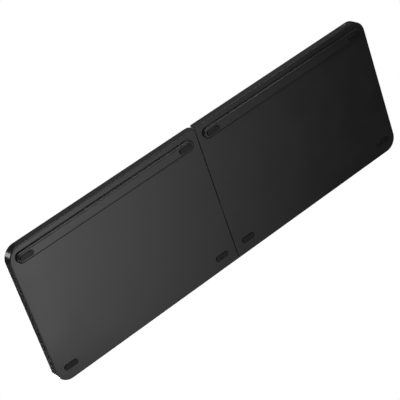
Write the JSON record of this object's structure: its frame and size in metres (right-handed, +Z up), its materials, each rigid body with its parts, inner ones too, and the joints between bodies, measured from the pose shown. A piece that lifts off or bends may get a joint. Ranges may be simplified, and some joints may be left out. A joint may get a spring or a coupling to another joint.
{
  "type": "folding keyboard",
  "caption": "Slim two-part folding keyboard with scissor keys, a seam hinge, raised rear bars and rubber feet; shown from below, open flat.",
  "frame": {"origin": "under the seam at mid depth, on the plane that the feet stand on", "axes": "+X along the open keyboard to the typist's right, +Y to the rear edge, +Z up; keys face up"},
  "size_m": [0.29, 0.0971, 0.011],
  "materials": {
    "case": "fine matte texture, near black",
    "key_frame": "fine matte texture, near black",
    "keycap": "soft matte, near black",
    "stamped_plate": "stamped, bare",
    "silicone": "soft, milky",
    "link_plastic": "satin white",
    "foot_rubber": "matte black",
    "hinge_steel": "satin",
    "screw_steel": "dark, satin",
    "magnet": "plated",
    "cable_film": "amber film",
    "circuit_board": "green solder mask",
    "battery_foil": "laminated foil",
    "socket_shell": "drawn shell",
    "pin_steel": "ground"
  },
  "bodies": {
    "left_half": {"bottom_case_left": "case", "key_frame_left": "key_frame", "key_plate_left": "stamped_plate", "dome_sheet_left": "silicone", "scissor_links_left": "link_plastic", "rubber_feet_left": "foot_rubber", "hinge_leaf_left": "hinge_steel", "case_screws_left": "screw_steel", "magnets_left": "magnet", "flex_cable_left": "cable_film", "main_board": "circuit_board", "battery": "battery_foil", "usb_c_port": "socket_shell", "hinge_pins": "pin_steel"},
    "right_half": {"bottom_case_right": "case", "key_frame_right": "key_frame", "key_plate_right": "stamped_plate", "dome_sheet_right": "silicone", "scissor_links_right": "link_plastic", "rubber_feet_right": "foot_rubber", "hinge_leaf_right": "hinge_steel", "case_screws_right": "screw_steel", "magnets_right": "magnet", "flex_cable_right": "cable_film"},
    "key_q": {"key_q": "keycap"},
    "key_w": {"key_w": "keycap"},
    "key_e": {"key_e": "keycap"},
    "key_r": {"key_r": "keycap"},
    "key_t": {"key_t": "keycap"},
    "key_a": {"key_a": "keycap"},
    "key_s": {"key_s": "keycap"},
    "key_d": {"key_d": "keycap"},
    "key_f": {"key_f": "keycap"},
    "key_g": {"key_g": "keycap"},
    "key_z": {"key_z": "keycap"},
    "key_x": {"key_x": "keycap"},
    "key_c": {"key_c": "keycap"},
    "key_v": {"key_v": "keycap"},
    "key_b": {"key_b": "keycap"},
    "space_left": {"space_left": "keycap"},
    "number_keys_left": {"number_keys_left": "keycap"},
    "modifier_keys_left": {"modifier_keys_left": "keycap"},
    "key_y": {"key_y": "keycap"},
    "key_u": {"key_u": "keycap"},
    "key_i": {"key_i": "keycap"},
    "key_o": {"key_o": "keycap"},
    "key_p": {"key_p": "keycap"},
    "key_h": {"key_h": "keycap"},
    "key_j": {"key_j": "keycap"},
    "key_k": {"key_k": "keycap"},
    "key_l": {"key_l": "keycap"},
    "key_n": {"key_n": "keycap"},
    "key_m": {"key_m": "keycap"},
    "space_right": {"space_right": "keycap"},
    "enter": {"enter": "keycap"},
    "backspace": {"backspace": "keycap"},
    "number_keys_right": {"number_keys_right": "keycap"},
    "modifier_keys_right": {"modifier_keys_right": "keycap"},
    "symbol_keys_right": {"symbol_keys_right": "keycap"},
    "arrow_keys": {"arrow_keys": "keycap"}
  },
  "joints": [
    {"name": "fold", "type": "hinge", "parent": "left_half", "child": "right_half", "pos_m": [0, -0.00008, 0.00793], "axis": [0, -0.9997, -0.0235], "range_deg": [0, 180]},
    {"name": "press_key_q", "type": "slide", "parent": "left_half", "child": "key_q", "axis": [0, 0.0235, -0.9997], "range_m": [0, 0.0012], "stiffness_N_per_m": 250, "springref_m": -0.0008},
    {"name": "press_key_w", "type": "slide", "parent": "left_half", "child": "key_w", "axis": [0, 0.0235, -0.9997], "range_m": [0, 0.0012], "stiffness_N_per_m": 250, "springref_m": -0.0008},
    {"name": "press_key_e", "type": "slide", "parent": "left_half", "child": "key_e", "axis": [0, 0.0235, -0.9997], "range_m": [0, 0.0012], "stiffness_N_per_m": 250, "springref_m": -0.0008},
    {"name": "press_key_r", "type": "slide", "parent": "left_half", "child": "key_r", "axis": [0, 0.0235, -0.9997], "range_m": [0, 0.0012], "stiffness_N_per_m": 250, "springref_m": -0.0008},
    {"name": "press_key_t", "type": "slide", "parent": "left_half", "child": "key_t", "axis": [0, 0.0235, -0.9997], "range_m": [0, 0.0012], "stiffness_N_per_m": 250, "springref_m": -0.0008},
    {"name": "press_key_a", "type": "slide", "parent": "left_half", "child": "key_a", "axis": [0, 0.0235, -0.9997], "range_m": [0, 0.0012], "stiffness_N_per_m": 250, "springref_m": -0.0008},
    {"name": "press_key_s", "type": "slide", "parent": "left_half", "child": "key_s", "axis": [0, 0.0235, -0.9997], "range_m": [0, 0.0012], "stiffness_N_per_m": 250, "springref_m": -0.0008},
    {"name": "press_key_d", "type": "slide", "parent": "left_half", "child": "key_d", "axis": [0, 0.0235, -0.9997], "range_m": [0, 0.0012], "stiffness_N_per_m": 250, "springref_m": -0.0008},
    {"name": "press_key_f", "type": "slide", "parent": "left_half", "child": "key_f", "axis": [0, 0.0235, -0.9997], "range_m": [0, 0.0012], "stiffness_N_per_m": 250, "springref_m": -0.0008, "deforming": ["dome_sheet_left", "scissor_links_left"]},
    {"name": "press_key_g", "type": "slide", "parent": "left_half", "child": "key_g", "axis": [0, 0.0235, -0.9997], "range_m": [0, 0.0012], "stiffness_N_per_m": 250, "springref_m": -0.0008},
    {"name": "press_key_z", "type": "slide", "parent": "left_half", "child": "key_z", "axis": [0, 0.0235, -0.9997], "range_m": [0, 0.0012], "stiffness_N_per_m": 250, "springref_m": -0.0008},
    {"name": "press_key_x", "type": "slide", "parent": "left_half", "child": "key_x", "axis": [0, 0.0235, -0.9997], "range_m": [0, 0.0012], "stiffness_N_per_m": 250, "springref_m": -0.0008},
    {"name": "press_key_c", "type": "slide", "parent": "left_half", "child": "key_c", "axis": [0, 0.0235, -0.9997], "range_m": [0, 0.0012], "stiffness_N_per_m": 250, "springref_m": -0.0008},
    {"name": "press_key_v", "type": "slide", "parent": "left_half", "child": "key_v", "axis": [0, 0.0235, -0.9997], "range_m": [0, 0.0012], "stiffness_N_per_m": 250, "springref_m": -0.0008},
    {"name": "press_key_b", "type": "slide", "parent": "left_half", "child": "key_b", "axis": [0, 0.0235, -0.9997], "range_m": [0, 0.0012], "stiffness_N_per_m": 250, "springref_m": -0.0008},
    {"name": "press_space_left", "type": "slide", "parent": "left_half", "child": "space_left", "axis": [0, 0.0235, -0.9997], "range_m": [0, 0.0012], "stiffness_N_per_m": 250, "springref_m": -0.0008},
    {"name": "press_number_keys_left", "type": "slide", "parent": "left_half", "child": "number_keys_left", "axis": [0, 0.0235, -0.9997], "range_m": [0, 0.0012], "stiffness_N_per_m": 250, "springref_m": -0.0008},
    {"name": "press_modifier_keys_left", "type": "slide", "parent": "left_half", "child": "modifier_keys_left", "axis": [0, 0.0235, -0.9997], "range_m": [0, 0.0012], "stiffness_N_per_m": 250, "springref_m": -0.0008},
    {"name": "press_key_y", "type": "slide", "parent": "right_half", "child": "key_y", "axis": [0, 0.0235, -0.9997], "range_m": [0, 0.0012], "stiffness_N_per_m": 250, "springref_m": -0.0008},
    {"name": "press_key_u", "type": "slide", "parent": "right_half", "child": "key_u", "axis": [0, 0.0235, -0.9997], "range_m": [0, 0.0012], "stiffness_N_per_m": 250, "springref_m": -0.0008},
    {"name": "press_key_i", "type": "slide", "parent": "right_half", "child": "key_i", "axis": [0, 0.0235, -0.9997], "range_m": [0, 0.0012], "stiffness_N_per_m": 250, "springref_m": -0.0008},
    {"name": "press_key_o", "type": "slide", "parent": "right_half", "child": "key_o", "axis": [0, 0.0235, -0.9997], "range_m": [0, 0.0012], "stiffness_N_per_m": 250, "springref_m": -0.0008},
    {"name": "press_key_p", "type": "slide", "parent": "right_half", "child": "key_p", "axis": [0, 0.0235, -0.9997], "range_m": [0, 0.0012], "stiffness_N_per_m": 250, "springref_m": -0.0008},
    {"name": "press_key_h", "type": "slide", "parent": "right_half", "child": "key_h", "axis": [0, 0.0235, -0.9997], "range_m": [0, 0.0012], "stiffness_N_per_m": 250, "springref_m": -0.0008},
    {"name": "press_key_j", "type": "slide", "parent": "right_half", "child": "key_j", "axis": [0, 0.0235, -0.9997], "range_m": [0, 0.0012], "stiffness_N_per_m": 250, "springref_m": -0.0008, "deforming": ["dome_sheet_right", "scissor_links_right"]},
    {"name": "press_key_k", "type": "slide", "parent": "right_half", "child": "key_k", "axis": [0, 0.0235, -0.9997], "range_m": [0, 0.0012], "stiffness_N_per_m": 250, "springref_m": -0.0008},
    {"name": "press_key_l", "type": "slide", "parent": "right_half", "child": "key_l", "axis": [0, 0.0235, -0.9997], "range_m": [0, 0.0012], "stiffness_N_per_m": 250, "springref_m": -0.0008},
    {"name": "press_key_n", "type": "slide", "parent": "right_half", "child": "key_n", "axis": [0, 0.0235, -0.9997], "range_m": [0, 0.0012], "stiffness_N_per_m": 250, "springref_m": -0.0008},
    {"name": "press_key_m", "type": "slide", "parent": "right_half", "child": "key_m", "axis": [0, 0.0235, -0.9997], "range_m": [0, 0.0012], "stiffness_N_per_m": 250, "springref_m": -0.0008},
    {"name": "press_space_right", "type": "slide", "parent": "right_half", "child": "space_right", "axis": [0, 0.0235, -0.9997], "range_m": [0, 0.0012], "stiffness_N_per_m": 250, "springref_m": -0.0008},
    {"name": "press_enter", "type": "slide", "parent": "right_half", "child": "enter", "axis": [0, 0.0235, -0.9997], "range_m": [0, 0.0012], "stiffness_N_per_m": 250, "springref_m": -0.0008},
    {"name": "press_backspace", "type": "slide", "parent": "right_half", "child": "backspace", "axis": [0, 0.0235, -0.9997], "range_m": [0, 0.0012], "stiffness_N_per_m": 250, "springref_m": -0.0008},
    {"name": "press_number_keys_right", "type": "slide", "parent": "right_half", "child": "number_keys_right", "axis": [0, 0.0235, -0.9997], "range_m": [0, 0.0012], "stiffness_N_per_m": 250, "springref_m": -0.0008},
    {"name": "press_modifier_keys_right", "type": "slide", "parent": "right_half", "child": "modifier_keys_right", "axis": [0, 0.0235, -0.9997], "range_m": [0, 0.0012], "stiffness_N_per_m": 250, "springref_m": -0.0008},
    {"name": "press_symbol_keys_right", "type": "slide", "parent": "right_half", "child": "symbol_keys_right", "axis": [0, 0.0235, -0.9997], "range_m": [0, 0.0012], "stiffness_N_per_m": 250, "springref_m": -0.0008},
    {"name": "press_arrow_keys", "type": "slide", "parent": "right_half", "child": "arrow_keys", "axis": [0, 0.0235, -0.9997], "range_m": [0, 0.0012], "stiffness_N_per_m": 250, "springref_m": -0.0008}
  ]
}
